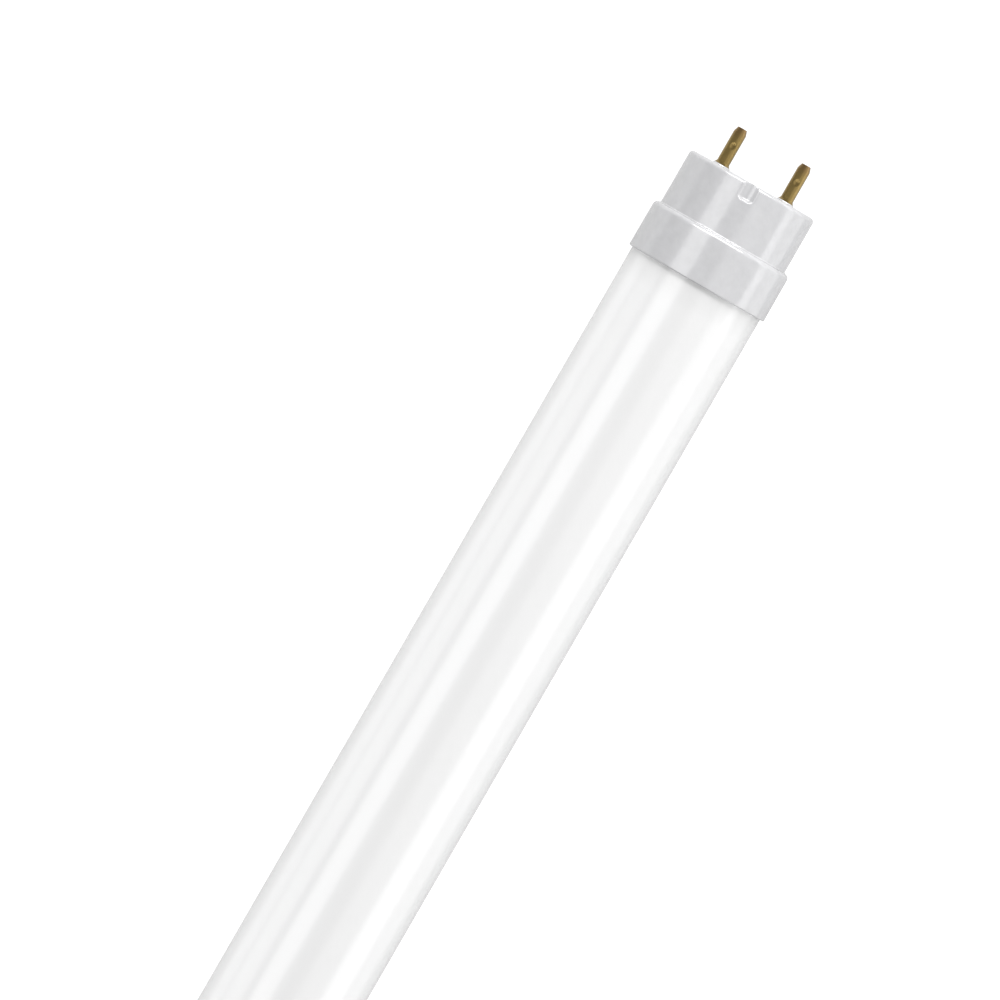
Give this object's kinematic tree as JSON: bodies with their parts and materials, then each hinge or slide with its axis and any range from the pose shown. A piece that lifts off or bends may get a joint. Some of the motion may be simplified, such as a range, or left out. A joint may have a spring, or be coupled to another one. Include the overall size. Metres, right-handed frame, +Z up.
{
  "type": "led tube",
  "caption": "Straight glass LED lamp tube with a moulded end cap and a pair of brass contact pins at each end.",
  "frame": {"origin": "on the floor under the middle of the tube, which lies with its light bar downwards", "axes": "+X along the tube towards the end that holds the driver, +Y across it in the plane of the pins, +Z up"},
  "size_m": [0.604, 0.0268, 0.0268],
  "materials": {
    "opal_glass": "opal white glass, smooth outside",
    "cap_plastic": "moulded translucent white plastic, satin",
    "brass_pin": "turned brass, dulled",
    "silicone": "white silicone",
    "bar_metal": "aluminium board with white solder mask",
    "led_housing": "white moulded housing",
    "phosphor": "yellow phosphor fill",
    "circuit_board": "glass-fibre board with green solder mask",
    "insulating_film": "thin polyester film",
    "lead_red": "red wire insulation",
    "lead_black": "black wire insulation",
    "tinned_copper": "tinned copper wire with solder",
    "resistor_coat": "dipped green coat",
    "varistor_coat": "dipped blue epoxy",
    "film_capacitor_case": "yellow moulded case",
    "capacitor_sleeve": "aluminium can in a black sleeve",
    "ferrite": "ground ferrite",
    "copper_winding": "enamelled copper wire",
    "chip_epoxy": "black moulded epoxy",
    "chip_ceramic": "tan ceramic"
  },
  "bodies": {
    "root": {"glass_tube": "opal_glass", "end_cap_near": "cap_plastic", "end_cap_far": "cap_plastic", "cap_glue_near": "silicone", "cap_glue_far": "silicone", "pin_near_left": "brass_pin", "pin_near_right": "brass_pin", "pin_far_left": "brass_pin", "pin_far_right": "brass_pin", "light_bar": "bar_metal", "bar_bead": "silicone", "led_packages": "led_housing", "led_phosphor": "phosphor", "driver_board": "circuit_board", "driver_film": "insulating_film", "lead_near_left": "lead_red", "lead_near_right": "lead_black", "lead_far_left": "lead_red", "lead_far_right": "lead_black", "link_plus": "tinned_copper", "link_minus": "tinned_copper", "fuse_resistor": "resistor_coat", "surge_varistor": "varistor_coat", "film_capacitor": "film_capacitor_case", "bulk_capacitor": "capacitor_sleeve", "output_capacitor": "capacitor_sleeve", "coil_bobbin": "ferrite", "coil_winding": "copper_winding", "bridge_rectifier": "chip_epoxy", "driver_chip": "chip_epoxy", "output_diode": "chip_epoxy", "chip_resistors": "chip_epoxy", "chip_capacitors": "chip_ceramic"}
  },
  "joints": []
}
